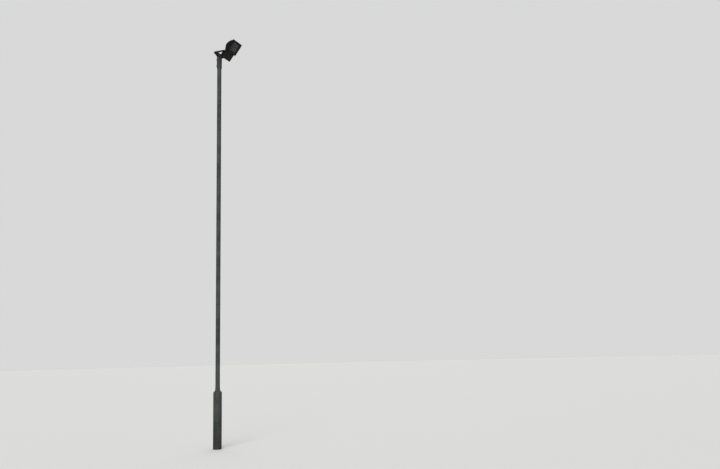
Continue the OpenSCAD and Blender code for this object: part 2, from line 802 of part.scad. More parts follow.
// A sloping sheet that closes one end of the trough, with a flange to the chamber's side wall
module reflector_end(side)
    color(mirror_sheet) aimed() {
        intersection() {
            along_y(curve_pts(0), -housing_w, housing_w);
            along_x([[side * (floor_y - reflector_t), floor_z], [side * floor_y, floor_z],
                     [side * mouth_y, mouth_z], [side * (mouth_y - reflector_t), mouth_z]],
                    mouth_x0, mouth_x1);
        }
        along_z(rectangle([mouth_x0, side > 0 ? end_flange_y0 : -end_flange_y1],
                          [mouth_x1, side > 0 ? end_flange_y1 : -end_flange_y0], 0),
                mouth_z - reflector_t, mouth_z);
    }

module near_reflector_end() reflector_end(-1);

module far_reflector_end() reflector_end(1);

module lamp_holder()
    color(ceramic_white) aimed()
        translate([lamp_x, 0, lamp_z]) bar_y(holder_d, holder_y - holder_len, holder_y);

module lamp_tube()
    color(clear_glass) aimed()
        translate([lamp_x, holder_y - holder_len, lamp_z])
            rotate([90, 0, 0]) {
                cylinder(d = lamp_d, h = lamp_len - lamp_d / 2, $fn = round_fn);
                translate([0, 0, lamp_len - lamp_d / 2]) sphere(d = lamp_d, $fn = round_fn);
            }

// A pressed cover with a raised middle over the gear chamber
module gear_cover()
    color(cover_black) aimed() {
        along_z(rectangle([cover_x0, -cover_w / 2], [cover_x1, cover_w / 2], cover_r),
                rim_z, rim_z + cover_t);
        along_z(rectangle([cover_x0 + cover_step, -cover_w / 2 + cover_step],
                          [cover_x1 - cover_step, cover_w / 2 - cover_step], cover_top_r),
                rim_z + cover_t, rim_z + cover_t + cover_rise);
    }

module cover_screws()
    color(bolt_steel) aimed()
        for (x = [cover_x0 + screw_edge, cover_x1 - screw_edge], side = [-1, 1])
            translate([x, side * (cover_w / 2 - screw_in), rim_z + cover_t])
                cylinder(d = cover_screw_d, h = cover_screw_h, $fn = round_fn);

// A gland in the gear chamber's back: a threaded stem, a hexagon, a dome nut and its lip
module cable_gland()
    color(rubber_black) aimed()
        translate([gland_x, gland_y, 0])
            difference() {
                union() {
                    cylinder_at(gland_stem_d / 2, gear_z, gear_z + 2 * housing_wall);
                    translate([0, 0, gear_z - gland_len * 0.3])
                        cylinder(d = gland_d, h = gland_len * 0.3, $fn = 6);
                    cylinder_at(gland_d * 0.44, gear_z - gland_len * 0.8, gear_z - gland_len * 0.3);
                    cylinder_at(gland_d * 0.34, gear_z - gland_len, gear_z - gland_len * 0.8);
                }
                cylinder_at(gland_bore / 2, gear_z - gland_len - cut, gear_z + 2 * housing_wall + cut);
            }

module frame_gasket()
    color(rubber_black) aimed()
        difference() {
            along_z(rectangle([-housing_up, -housing_w / 2], [partition_x0 + gasket_w, housing_w / 2],
                              edge_r), rim_z, frame_rear);
            along_z(rectangle([gasket_w - housing_up, gasket_w - housing_w / 2],
                              [partition_x0, housing_w / 2 - gasket_w], edge_r - gasket_w),
                    rim_z - cut, frame_rear + cut);
        }

// Hinge

module hinge_places() for (side = [-1, 1]) translate([hinge_x, side * hinge_y, hinge_z]) children();

module hinge_lugs()
    color(lamp_black) aimed()
        hinge_places()
            for (lug_y = [-1, 1] * (lug_in + lug_t / 2))
                difference() {
                    union() {
                        bar_y(knuckle_d, lug_y - lug_t / 2, lug_y + lug_t / 2);
                        along_y(rectangle([-knuckle_d / 2, rim_z - hinge_z], [knuckle_d / 2, 0], 0),
                                lug_y - lug_t / 2, lug_y + lug_t / 2);
                    }
                    bar_y(hinge_pin_d, -2 * knuckle_w, 2 * knuckle_w);
                }

module hinge_pins()
    color(bolt_steel) aimed()
        hinge_places()
            bar_y(hinge_pin_d, -lug_in - lug_t - pin_past_lug, lug_in + lug_t + pin_past_lug);

// Front frame

// The frame's block with its front edges chamfered on all four sides
module frame_block()
    intersection() {
        along_z(rectangle([frame_x0, -frame_w / 2], [frame_x1, frame_w / 2], frame_corner_r),
                frame_rear, frame_front);
        along_y([[frame_x0, frame_rear], [frame_x1, frame_rear], [frame_x1, frame_front - frame_chamfer],
                 [frame_x1 - frame_chamfer, frame_front], [frame_x0 + frame_chamfer, frame_front],
                 [frame_x0, frame_front - frame_chamfer]], -frame_w, frame_w);
        along_x([[-frame_w / 2, frame_rear], [frame_w / 2, frame_rear],
                 [frame_w / 2, frame_front - frame_chamfer], [frame_w / 2 - frame_chamfer, frame_front],
                 [frame_chamfer - frame_w / 2, frame_front], [-frame_w / 2, frame_front - frame_chamfer]],
                frame_x0 - frame_w, frame_x1 + frame_w);
    }

// The clear opening of the frame, made wider by out on every side
function sight(out) = rectangle([frame_x0 + frame_bar - out, -frame_w / 2 + frame_side - out],
                                [frame_x1 - frame_bar + out, frame_w / 2 - frame_side + out], sight_r + out);

module front_frame()
    color(lamp_black) aimed()
        difference() {
            union() {
                frame_block();
                hinge_places() {
                    bar_y(knuckle_d, -knuckle_w / 2, knuckle_w / 2);
                    along_y(rectangle([frame_x1 - hinge_x - cut, -knuckle_d / 2], [0, knuckle_d / 2], 0),
                            -knuckle_w / 2, knuckle_w / 2);
                }
            }
            along_z(sight(0), frame_rear - cut, frame_front + cut);
            along_z(sight(glass_ledge), frame_rear - cut, frame_front - glass_recess);
            hinge_places() bar_y(hinge_pin_d + hinge_clear, -knuckle_w, knuckle_w);
            captive_places() cylinder_at(captive_d / 2, frame_rear - cut, frame_front + cut);
        }

module front_glass()
    color(clear_glass) aimed()
        along_z(sight(glass_ledge - glass_clear), frame_front - glass_recess - glass_t,
                frame_front - glass_recess);

// A rubber strip that holds the glass up against its ledge
module glass_seal()
    color(rubber_black) aimed()
        difference() {
            along_z(sight(glass_ledge), frame_front - glass_recess - 2 * glass_t,
                    frame_front - glass_recess - glass_t);
            along_z(sight(0), frame_rear, frame_front);
        }

module captive_screws()
    color(bolt_steel) aimed()
        captive_places() {
            cylinder_at(captive_d / 2, rim_z - ear_t, frame_front);
            cylinder_at(captive_d, frame_front, frame_front + captive_head_h);
        }

module upper_set_screws() set_screw_ring(upper_ring_z);

module lower_set_screws() set_screw_ring(lower_ring_z);

base_tube();
shoulder();
shaft();
base_door();
door_tongue();
door_lock();
bracket_sleeve();
sleeve_cap();
upper_set_screws();
lower_set_screws();
mounting_plate();
near_gusset();
far_gusset();
cable_grommet();
stirrup();
stirrup_bolts();
stirrup_nuts();
lamp_housing();
reflector();
near_reflector_end();
far_reflector_end();
lamp_holder();
lamp_tube();
gear_cover();
cover_screws();
cable_gland();
near_pivot_bolt();
far_pivot_bolt();
frame_gasket();
hinge_lugs();
hinge_pins();
front_frame();
front_glass();
glass_seal();
captive_screws();
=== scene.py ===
import json
import math

import bmesh
import bpy
from mathutils import Matrix, Vector


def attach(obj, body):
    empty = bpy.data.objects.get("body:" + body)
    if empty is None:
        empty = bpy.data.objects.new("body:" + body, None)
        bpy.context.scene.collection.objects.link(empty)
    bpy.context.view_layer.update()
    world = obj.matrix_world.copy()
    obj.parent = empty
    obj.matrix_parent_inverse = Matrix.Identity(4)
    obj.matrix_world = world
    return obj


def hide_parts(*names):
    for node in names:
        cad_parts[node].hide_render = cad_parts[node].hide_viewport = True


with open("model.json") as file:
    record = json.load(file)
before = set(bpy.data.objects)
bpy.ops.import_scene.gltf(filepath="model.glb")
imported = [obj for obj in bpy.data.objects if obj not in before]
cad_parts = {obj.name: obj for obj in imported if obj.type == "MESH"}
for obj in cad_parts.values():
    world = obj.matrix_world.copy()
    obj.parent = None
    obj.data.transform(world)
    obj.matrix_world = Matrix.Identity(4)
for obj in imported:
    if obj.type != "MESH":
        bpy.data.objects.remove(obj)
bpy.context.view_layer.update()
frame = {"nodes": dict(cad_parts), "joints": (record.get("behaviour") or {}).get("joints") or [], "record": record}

# Places that the whole lamp hangs on, taken from the frame's own joints
joints = {joint["name"]: joint for joint in frame["joints"]}
pivot = Vector(joints["lamp_tilt"]["pos_m"])
aimAngle = 90 - joints["lamp_tilt"]["range_deg"][0]
lampPlace = Matrix.Translation(pivot) @ Matrix.Rotation(math.radians(aimAngle), 4, "Y")


# Colours are written as seen on a screen, 0 to 255
def screenColour(red, green, blue):
    def toLinear(level):
        level = level / 255
        return level / 12.92 if level <= 0.04045 else ((level + 0.055) / 1.055) ** 2.4
    return (toLinear(red), toLinear(green), toLinear(blue), 1)


# One wrapped socket, so that shader maths reads as sums
class Signal:
    def __init__(self, finish, socket):
        self.finish = finish
        self.socket = socket

    def maths(self, operation, first, second):
        return self.finish.add("ShaderNodeMath", {"operation": operation}, {0: first, 1: second})

    def __add__(self, other):
        return self.maths("ADD", self, other)

    def __radd__(self, other):
        return self.maths("ADD", other, self)

    def __sub__(self, other):
        return self.maths("SUBTRACT", self, other)

    def __rsub__(self, other):
        return self.maths("SUBTRACT", other, self)

    def __mul__(self, other):
        return self.maths("MULTIPLY", self, other)

    def __pow__(self, other):
        return self.maths("POWER", self, other)


socketNames = {
    "colour": "Base Color", "roughness": "Roughness", "metallic": "Metallic", "normal": "Normal",
    "alpha": "Alpha", "coat": "Coat Weight", "specular": "Specular IOR Level",
}


# A material being put together: a shader with its output, and the nodes that feed it
class Finish:
    def __init__(self, name):
        self.material = bpy.data.materials.new(name)
        self.material.use_nodes = True
        self.tree = self.material.node_tree
        self.shader = self.tree.nodes["Principled BSDF"]
        self.place = self.add("ShaderNodeTexCoord", {}, {}, "Object")
        self.facing = self.add("ShaderNodeTexCoord", {}, {}, "Normal")

    # Settings are set first, then values or links go into the sockets
    def add(self, kind, settings, sockets, output=0):
        node = self.tree.nodes.new(kind)
        for name, value in settings.items():
            setattr(node, name, value)
        for name, value in sockets.items():
            self.plug(node.inputs[name], value)
        return Signal(self, node.outputs[output])

    def plug(self, socket, value):
        if isinstance(value, Signal):
            self.tree.links.new(value.socket, socket)
        else:
            socket.default_value = value

    def stretch(self, scale):
        return self.add("ShaderNodeMapping", {}, {"Vector": self.place, "Scale": scale}, "Vector")

    def noise(self, scale, detail=4.0, rough=0.55, place=None):
        sockets = {"Vector": place or self.place, "Scale": scale, "Detail": detail, "Roughness": rough}
        return self.add("ShaderNodeTexNoise", {}, sockets, "Fac")

    def cells(self, scale, output="Distance"):
        return self.add("ShaderNodeTexVoronoi", {}, {"Vector": self.place, "Scale": scale}, output)

    def band(self, signal, low, high):
        return self.add("ShaderNodeMapRange", {"interpolation_type": "SMOOTHSTEP"},
                        {"Value": signal, "From Min": low, "From Max": high}, "Result")

    def blend(self, factor, first, second):
        return self.add("ShaderNodeMix", {"data_type": "RGBA"}, {0: factor, 6: first, 7: second}, 2)

    # A value that a mesh carries by name, or nothing where it carries none
    def carried(self, name):
        return self.add("ShaderNodeAttribute", {"attribute_name": name}, {}, "Fac")

    def axis(self, vector, name):
        return self.add("ShaderNodeSeparateXYZ", {}, {0: vector}, name)

    def bump(self, height, distance, strength, under=None):
        sockets = {"Height": height, "Distance": distance, "Strength": strength}
        if under:
            sockets["Normal"] = under
        return self.add("ShaderNodeBump", {}, sockets, "Normal")

    def set(self, **values):
        for name, value in values.items():
            self.plug(self.shader.inputs[socketNames[name]], value)
        return self.material


print("materials")

# The edge colour paints the soft edges paler: partly worn zinc, partly a painted highlight
galvanisedLook = {
    "pale": screenColour(74, 77, 76), "mid": screenColour(50, 53, 52), "dark": screenColour(34, 37, 36),
    "grime": screenColour(44, 43, 38), "bright": screenColour(104, 108, 107),
    "edge": screenColour(122, 124, 122), "spangle": 95.0, "patches": 3.1, "metal": 0.22,
}


# Spangle over slow patches, dark runs down the tube, grime splashed up from the ground, and paler soft edges that
# are partly wear and partly a painted highlight
def galvanisedFinish(name, look):
    finish = Finish(name)
    spangle = finish.cells(look["spangle"], "Color")
    patches = finish.noise(look["patches"], 5.0)
    runs = finish.noise(14.0, 6.0, 0.6, finish.stretch((1.0, 1.0, 0.035)))
    fine = finish.noise(420.0, 3.0)
    tone = finish.blend(finish.band(patches, 0.35, 0.65), look["mid"], look["pale"])
    tone = finish.blend(finish.band(runs, 0.5, 0.78) * 0.75, tone, look["dark"])
    grain = finish.axis(spangle, "X")
    tone = finish.blend((grain ** 1.6) * 0.2, tone, look["bright"])
    # Paler soft edges: partly worn zinc, partly a painted edge highlight
    tone = finish.blend(finish.carried("edgeWearAndHighlight") * fine * 0.8, tone, look["edge"])
    height = finish.axis(finish.place, "Z")
    splash = finish.band(height + finish.noise(9.0, 5.0) * 0.5, 0.75, 0.28)
    tone = finish.blend(splash * 0.7, tone, look["grime"])
    rough = 0.62 - grain * 0.2 + patches * 0.16 + splash * 0.15
    metal = look["metal"] + grain * 0.12 - splash * 0.3
    dents = finish.bump(finish.noise(38.0, 2.0), 0.0012, 0.35)
    pits = finish.bump(fine + grain * 0.6, 0.00025, 0.5, dents)
    return finish.set(colour=tone, roughness=rough, metallic=metal, normal=pits, specular=0.12)


boltLook = {
    "bright": screenColour(128, 127, 120), "dull": screenColour(84, 83, 79), "rust": screenColour(92, 58, 38),
}


def boltFinish(name, look):
    finish = Finish(name)
    stain = finish.noise(85.0, 5.0, 0.62)
    rust = finish.band(finish.noise(140.0, 5.0, 0.65), 0.6, 0.74)
    tone = finish.blend(finish.band(stain, 0.35, 0.66), look["bright"], look["dull"])
    tone = finish.blend(rust * 0.7, tone, look["rust"])
    rough = 0.36 + stain * 0.25 + rust * 0.25
    marks = finish.bump(finish.noise(900.0, 3.0) + rust * 0.5, 0.00012, 0.6)
    return finish.set(colour=tone, roughness=rough, metallic=0.85 - rust * 0.7, normal=marks)


# Powder coat: orange peel, chalking in patches, pale dust on what faces up, runs on steep faces, and rubbed pale
# edges that are partly worn paint and partly a painted highlight
def paintFinish(name, look):
    finish = Finish(name)
    peel = finish.noise(look["peel"], 2.0, 0.5)
    chalk = finish.band(finish.noise(look["patches"], 6.0, 0.62), 0.42, 0.72)
    fine = finish.noise(260.0, 5.0, 0.7)
    up = finish.band(finish.axis(finish.facing, "Z"), 0.35, 0.95)
    dust = up * finish.band(fine + finish.noise(17.0, 4.0) * 0.7, 0.62, 1.0)
    runs = finish.band(finish.noise(36.0, 5.0, 0.6, finish.stretch((1.0, 1.0, 0.09))), 0.52, 0.76)
    tone = finish.blend(chalk * look["chalkAmount"], look["base"], look["chalk"])
    tone = finish.blend(runs * look["runAmount"], tone, look["chalk"])
    tone = finish.blend(dust * look["dustAmount"], tone, look["dust"])
    # Rubbed soft edges: worn paint showing metal, and partly a painted edge highlight
    rubbedEdgeAndHighlight = finish.carried("edgeWearAndHighlight") * finish.band(fine + finish.noise(31.0, 4.0) * 0.8, 0.72, 1.05)
    tone = finish.blend(rubbedEdgeAndHighlight * look["rubAndHighlightAmount"], tone, look["rubbedEdgeAndHighlight"])
    rough = look["roughness"] + chalk * 0.16 + dust * 0.2 + fine * 0.06
    normal = finish.bump(peel, look["peelDepth"], 0.6, finish.bump(finish.noise(22.0, 2.0), 0.0008, 0.25))
    return finish.set(colour=tone, roughness=rough, metallic=rubbedEdgeAndHighlight * 0.5, normal=normal, specular=0.07)


# Each paint's rubbed colour paints its soft edges paler: partly wear, partly a painted highlight
lampPaintLook = {
    "base": screenColour(16, 18, 17), "chalk": screenColour(35, 37, 36), "dust": screenColour(84, 82, 75),
    "peel": 480.0, "peelDepth": 0.0003, "patches": 11.0, "chalkAmount": 0.45, "runAmount": 0.35,
    "dustAmount": 0.45, "roughness": 0.4, "rubbedEdgeAndHighlight": screenColour(104, 103, 98), "rubAndHighlightAmount": 0.7,
}
coverPaintLook = {
    "base": screenColour(22, 24, 24), "chalk": screenColour(40, 42, 41), "dust": screenColour(84, 82, 75),
    "peel": 620.0, "peelDepth": 0.0002, "patches": 14.0, "chalkAmount": 0.35, "runAmount": 0.3,
    "dustAmount": 0.45, "roughness": 0.36, "rubbedEdgeAndHighlight": screenColour(104, 103, 98), "rubAndHighlightAmount": 0.6,
}
bracketPaintLook = {
    "base": screenColour(15, 17, 16), "chalk": screenColour(36, 38, 37), "dust": screenColour(84, 82, 75),
    "peel": 540.0, "peelDepth": 0.00025, "patches": 19.0, "chalkAmount": 0.5, "runAmount": 0.4,
    "dustAmount": 0.5, "roughness": 0.45, "rubbedEdgeAndHighlight": screenColour(120, 118, 112), "rubAndHighlightAmount": 0.8,
}

reflectorLook = {"sheet": screenColour(196, 197, 188), "dust": screenColour(122, 119, 102), "hammer": 120.0}


def reflectorFinish(name, look):
    finish = Finish(name)
    dust = finish.band(finish.noise(24.0, 6.0, 0.65) + finish.noise(210.0, 4.0) * 0.4, 0.48, 0.95)
    tone = finish.blend(dust * 0.65, look["sheet"], look["dust"])
    hammer = finish.bump(finish.cells(look["hammer"]), 0.0018, 0.5)
    return finish.set(colour=tone, roughness=0.22 + dust * 0.4, metallic=0.92 - dust * 0.4, normal=hammer)


frontGlassLook = {"tint": screenColour(26, 29, 24), "dust": screenColour(80, 79, 69)}


# The pane is seen through by its alpha, less where dust and specks lie on it
def dustyGlassFinish(name, look):
    finish = Finish(name)
    film = finish.noise(13.0, 6.0, 0.6)
    runs = finish.noise(60.0, 5.0, 0.6, finish.stretch((1.0, 1.0, 0.12)))
    specks = finish.band(finish.noise(520.0, 2.0), 0.66, 0.78)
    dust = finish.band(film * 0.65 + runs * 0.45, 0.42, 0.72)
    tone = finish.blend(dust * 0.7 + specks * 0.2, look["tint"], look["dust"])
    opaque = 0.36 + dust * 0.26 + specks * 0.25
    return finish.set(colour=tone, roughness=0.08 + dust * 0.3, alpha=opaque, metallic=0.0,
                      normal=finish.bump(film, 0.0004, 0.2), specular=0.25)


lampGlassLook = {"clear": screenColour(226, 230, 228), "haze": screenColour(184, 186, 178)}


def clearGlassFinish(name, look):
    finish = Finish(name)
    haze = finish.noise(70.0, 5.0, 0.6)
    tone = finish.blend(haze * 0.5, look["clear"], look["haze"])
    return finish.set(colour=tone, roughness=0.04 + haze * 0.12, alpha=0.2 + haze * 0.16,
                      metallic=0.0, specular=0.7)


porcelainLook = {"glaze": screenColour(226, 222, 208), "soot": screenColour(136, 124, 102)}


def ceramicFinish(name, look):
    finish = Finish(name)
    soot = finish.band(finish.noise(52.0, 6.0, 0.65), 0.46, 0.75)
    tone = finish.blend(soot * 0.6, look["glaze"], look["soot"])
    return finish.set(colour=tone, roughness=0.24 + soot * 0.4, metallic=0.0,
                      normal=finish.bump(finish.noise(300.0, 3.0), 0.0001, 0.4), coat=0.3 - soot * 0.3)


mouldedLook = {"base": screenColour(36, 37, 37), "worn": screenColour(66, 66, 63), "grain": 700.0,
               "roughness": 0.42}
rubberLook = {"base": screenColour(30, 30, 30), "worn": screenColour(70, 69, 65), "grain": 380.0,
              "roughness": 0.66}


def mouldedFinish(name, look):
    finish = Finish(name)
    wear = finish.band(finish.noise(46.0, 6.0, 0.66), 0.45, 0.78)
    grain = finish.noise(look["grain"], 3.0, 0.6)
    tone = finish.blend(wear * 0.55, look["base"], look["worn"])
    return finish.set(colour=tone, roughness=look["roughness"] + wear * 0.2, metallic=0.0,
                      normal=finish.bump(grain, 0.0002, 0.5))


finishes = {
    "galvanised": galvanisedFinish("weatheredGalvanising", galvanisedLook),
    "bolt_steel": boltFinish("dulledZincPlate", boltLook),
    "painted_bracket": paintFinish("bracketPowderCoat", bracketPaintLook),
    "lamp_paint": paintFinish("castingPowderCoat", lampPaintLook),
    "cover_paint": paintFinish("coverPaint", coverPaintLook),
    "reflector_sheet": reflectorFinish("hammeredReflector", reflectorLook),
    "holder_ceramic": ceramicFinish("glazedPorcelain", porcelainLook),
    "lamp_glass": clearGlassFinish("clearLampGlass", lampGlassLook),
    "front_glass": dustyGlassFinish("dustyFrontGlass", frontGlassLook),
    "gland_plastic": mouldedFinish("blackMouldedPlastic", mouldedLook),
    "rubber_seal": mouldedFinish("blackRubber", rubberLook),
}

# Every node takes the finish that the record names for it
for part in frame["record"]["subparts"]:
    node = frame["nodes"][part["node"]]
    node.data.materials.clear()
    node.data.materials.append(finishes[part["material_slot"]])

print("modelling helpers")

# Vertices closer than this are one: in a last clean, on made pieces, and on copies of CAD meshes
mergeWithin = {"clean": 0.000005, "made": 0.00001, "cad": 0.00002}
# Faces that turn by less than this many degrees are one flat, and edges below these look smooth
flatTurn = 0.5
smoothUnder = {"flat": 30.0, "slotted": 35.0, "plain": 38.0, "rim": 40.0, "round": 50.0, "bead": 60.0}


def selectNothing():
    if bpy.context.object and bpy.context.object.mode != "OBJECT":
        bpy.ops.object.mode_set(mode="OBJECT")
    bpy.ops.object.select_all(action="DESELECT")


def workOn(piece):
    selectNothing()
    piece.select_set(True)
    bpy.context.view_layer.objects.active = piece


# Goes into edit mode with every vertex selected
def openMesh(piece):
    workOn(piece)
    bpy.ops.object.mode_set(mode="EDIT")
    bpy.ops.mesh.select_mode(type="VERT")
    bpy.ops.mesh.select_all(action="SELECT")


def closeMesh(piece):
    bpy.ops.object.mode_set(mode="OBJECT")
    return piece


# In edit mode, selects the vertices that pass the test and nothing else
def pick(piece, test):
    mesh = bmesh.from_edit_mesh(piece.data)
    for group in (mesh.faces, mesh.edges, mesh.verts):
        for element in group:
            element.select = False
    for vertex in mesh.verts:
        if test(vertex):
            vertex.select_set(True)
    bmesh.update_edit_mesh(piece.data)


def turnOutwards():
    bpy.ops.mesh.select_all(action="SELECT")
    bpy.ops.mesh.normals_make_consistent(inside=False)


# After a cut, a bevel or a skin: merges, drops what has no area and turns all faces outwards
def cleanedMesh(piece):
    openMesh(piece)
    bpy.ops.mesh.remove_doubles(threshold=mergeWithin["clean"])
    bpy.ops.mesh.dissolve_degenerate(threshold=mergeWithin["clean"])
    bpy.ops.mesh.delete_loose()
    turnOutwards()
    if bmesh.from_edit_mesh(piece.data).calc_volume(signed=True) < 0:
        bpy.ops.mesh.flip_normals()
    return closeMesh(piece)


# Merges vertices and takes out the seams that cross flat faces
def mergedFlats(piece, distance):
    openMesh(piece)
    bpy.ops.mesh.remove_doubles(threshold=distance)
    bpy.ops.mesh.dissolve_limited(angle_limit=math.radians(flatTurn))
    return closeMesh(piece)


def applyAll(piece):
    workOn(piece)
    for modifier in list(piece.modifiers):
        bpy.ops.object.modifier_apply(modifier=modifier.name)
    return piece


# Cuts a piece with a tool, or keeps what they share, and throws the tool away
def cutWith(piece, tool, operation="DIFFERENCE"):
    cut = piece.modifiers.new("cut", "BOOLEAN")
    cut.operation, cut.object, cut.solver = operation, tool, "EXACT"
    applyAll(piece)
    bpy.data.objects.remove(tool)
    return piece


# The faces of the softened edges are told apart by a second material place, and then carry the edge wear and the
# painted edge highlight
def softenEdges(piece, width, segments=2, angle=32.0):
    piece.data.materials.clear()
    piece.data.materials.append(None)
    piece.data.materials.append(None)
    bevel = piece.modifiers.new("softEdges", "BEVEL")
    bevel.width, bevel.segments, bevel.material = width, segments, 1
    bevel.limit_method, bevel.angle_limit = "ANGLE", math.radians(angle)
    applyAll(piece)
    wear = piece.data.attributes.new("edgeWearAndHighlight", "FLOAT", "FACE")
    for face in piece.data.polygons:
        wear.data[face.index].value = face.material_index
        face.material_index = 0
    return smoothed(cleanedMesh(piece))


# Smooth below an angle; even normals keep the flats next to small bevels flat
def smoothed(piece, angle=smoothUnder["plain"], evenNormals=False):
    workOn(piece)
    bpy.ops.object.shade_smooth_by_angle(angle=math.radians(angle), keep_sharp_edges=False)
    if evenNormals:
        even = piece.modifiers.new("evenNormals", "WEIGHTED_NORMAL")
        even.keep_sharp, even.weight = True, 80
        applyAll(piece)
    return piece


# Sets a piece's place into its mesh, with its own turning and scale applied
def placed(piece, place=Matrix.Identity(4)):
    workOn(piece)
    bpy.context.view_layer.update()
    piece.data.transform(place @ piece.matrix_world)
    piece.matrix_world = Matrix.Identity(4)
    return piece


def joined(pieces, name):
    selectNothing()
    for piece in pieces:
        piece.select_set(True)
    bpy.context.view_layer.objects.active = pieces[0]
    if len(pieces) > 1:
        bpy.ops.object.join()
    pieces[0].name = name
    return pieces[0]


def copied(piece, place):
    twin = piece.copy()
    twin.data = piece.data.copy()
    bpy.context.scene.collection.objects.link(twin)
    twin.data.transform(place)
    return twin


# Copies at each of the places, joined into one piece, with the first one thrown away
def spread(piece, places, name):
    twins = [copied(piece, place) for place in places]
    bpy.data.objects.remove(piece)
    return joined(twins, name)


# Gives a finished piece its name, body and finish, and hides the nodes that it stands for
def finished(piece, name, body, slot, standsFor=()):
    piece.name = piece.data.name = name
    piece.data.materials.clear()
    piece.data.materials.append(finishes[slot])
    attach(piece, body)
    if standsFor:
        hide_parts(*standsFor)
    return piece


# The matrix that stands a piece on a place, with its +Z along the way and turned about it
def facing(place, way, turn=0.0):
    return (Matrix.Translation(place) @ Vector(way).to_track_quat("Z", "Y").to_matrix().to_4x4()
            @ Matrix.Rotation(math.radians(turn), 4, "Z"))


# A new piece of one vertex, left in edit mode with that vertex selected
def startedAt(place):
    selectNothing()
    bpy.ops.mesh.primitive_plane_add(size=0.01, location=(0, 0, 0))
    piece = bpy.context.object
    openMesh(piece)
    bpy.ops.mesh.merge(type="CENTER")
    bpy.ops.transform.translate(value=place)
    return piece


def drawOn(step):
    bpy.ops.mesh.extrude_region_move(TRANSFORM_OT_translate={"value": step})


# A round piece about Z: one vertex is drawn along the profile of (radius, height) and spun
def turnedPiece(profile, steps):
    radius, height = profile[0]
    piece = startedAt((radius, 0, height))
    for nextRadius, nextHeight in profile[1:]:
        drawOn((nextRadius - radius, 0, nextHeight - height))
        radius, height = nextRadius, nextHeight
    bpy.ops.mesh.select_all(action="SELECT")
    bpy.ops.mesh.spin(steps=steps, angle=2 * math.pi, center=(0, 0, 0), axis=(0, 0, 1))
    bpy.ops.mesh.select_all(action="SELECT")
    bpy.ops.mesh.remove_doubles(threshold=mergeWithin["made"])
    bpy.ops.mesh.delete_loose()
    turnOutwards()
    return closeMesh(piece)


# A plain round bar for cutting a bore
def boreTool(radius, low, high, steps):
    return turnedPiece([(0, low), (radius, low), (radius, high), (0, high)], steps)


# Threads on a turned profile, as rings from one height down to another
def threadProfile(radius, top, bottom, pitch, depth):
    count = max(1, round((top - bottom) / pitch))
    step = (top - bottom) / count
    points = []
    for number in range(count):
        crest = top - number * step
        points += [(radius, crest - step * 0.15), (radius - depth, crest - step * 0.5),
                   (radius - depth, crest - step * 0.6), (radius, crest - step * 0.95)]
    return points


headForm = {"corner": 0.134, "slope": 0.55, "steps": 36}


# A six-sided head whose corners are cut back by a shallow cone, as turned ones are
def hexagonHead(cornerRadius, low, high, bothEnds=False):
    selectNothing()
    bpy.ops.mesh.primitive_cylinder_add(vertices=6, radius=cornerRadius, depth=high - low,
                                        location=(0, 0, (high + low) / 2))
    head = bpy.context.object
    chamfer = cornerRadius * headForm["corner"]
    rise = chamfer * headForm["slope"]
    profile = [(0, high), (cornerRadius - chamfer, high), (cornerRadius, high - rise)]
    if bothEnds:
        profile += [(cornerRadius, low + rise), (cornerRadius - chamfer, low)]
    else:
        profile += [(cornerRadius, low)]
    profile += [(0, low)]
    cutWith(head, turnedPiece(profile, headForm["steps"]), "INTERSECT")
    return placed(cleanedMesh(mergedFlats(head, mergeWithin["made"])))


print("bolts, nuts and screws")

boltSizes = {
    "stirrup": {"shank": 0.006, "corner": 0.0102, "head": 0.0072, "washer": 0.0132, "washerThick": 0.0025,
                "length": 0.0266, "threaded": 0.016, "pitch": 0.00175},
    "pivot": {"shank": 0.006, "corner": 0.0102, "head": 0.0078, "washer": 0.0132, "washerThick": 0.0025,
              "length": 0.0273, "threaded": 0.010, "pitch": 0.00175},
    "setScrew": {"shank": 0.005, "corner": 0.0085, "head": 0.006, "washer": 0.0, "washerThick": 0.0,
                 "length": 0.0143, "threaded": 0.012, "pitch": 0.0015},
}
headEdge = {"width": 0.0004, "segments": 2, "angle": 24.0}
boltTrim = {"threadDepth": 0.5, "threadEnd": 0.0008, "tip": 0.001, "steps": 32}
washerTrim = {"bore": 0.98, "foot": 0.0004, "drop": 0.0005, "draw": 0.0006, "steps": 40}
nutTrim = {"bore": 1.03, "over": 0.001, "steps": 32}


def makeShank(size, trim):
    radius, tip = size["shank"], -size["length"]
    threadTop, depth = tip + size["threaded"], size["pitch"] * trim["threadDepth"]
    threads = threadProfile(radius, threadTop, tip + trim["threadEnd"], size["pitch"], depth)
    profile = [(0, size["washerThick"]), (radius, size["washerThick"]), (radius, threadTop)] + threads
    profile += [(radius - trim["tip"], tip), (0, tip)]
    return smoothed(turnedPiece(profile, trim["steps"]), smoothUnder["round"])


def makeWasher(size, trim):
    bore, rim, thick = size["shank"] * trim["bore"], size["washer"], size["washerThick"]
    profile = [(bore, 0), (rim - trim["foot"], 0), (rim, trim["foot"]), (rim, thick - trim["drop"]),
               (rim - trim["draw"], thick), (bore, thick), (bore, 0)]
    return smoothed(turnedPiece(profile, trim["steps"]), smoothUnder["flat"])


# A bolt along +Z: its washer stands on height 0, its head above and its shank below
def makeBolt(size):
    base = size["washerThick"]
    parts = [softenEdges(hexagonHead(size["corner"], base, base + size["head"]), **headEdge)]
    parts.append(makeShank(size, boltTrim))
    if size["washer"]:
        parts.append(makeWasher(size, washerTrim))
    return joined(parts, "bolt")


def makeNut(size, high):
    nut = softenEdges(hexagonHead(size["corner"], 0.0, high, True), **headEdge)
    over = nutTrim["over"]
    cutWith(nut, boreTool(size["shank"] * nutTrim["bore"], -over, high + over, nutTrim["steps"]))
    return smoothed(cleanedMesh(nut), smoothUnder["flat"])


sides = (-1, 1)

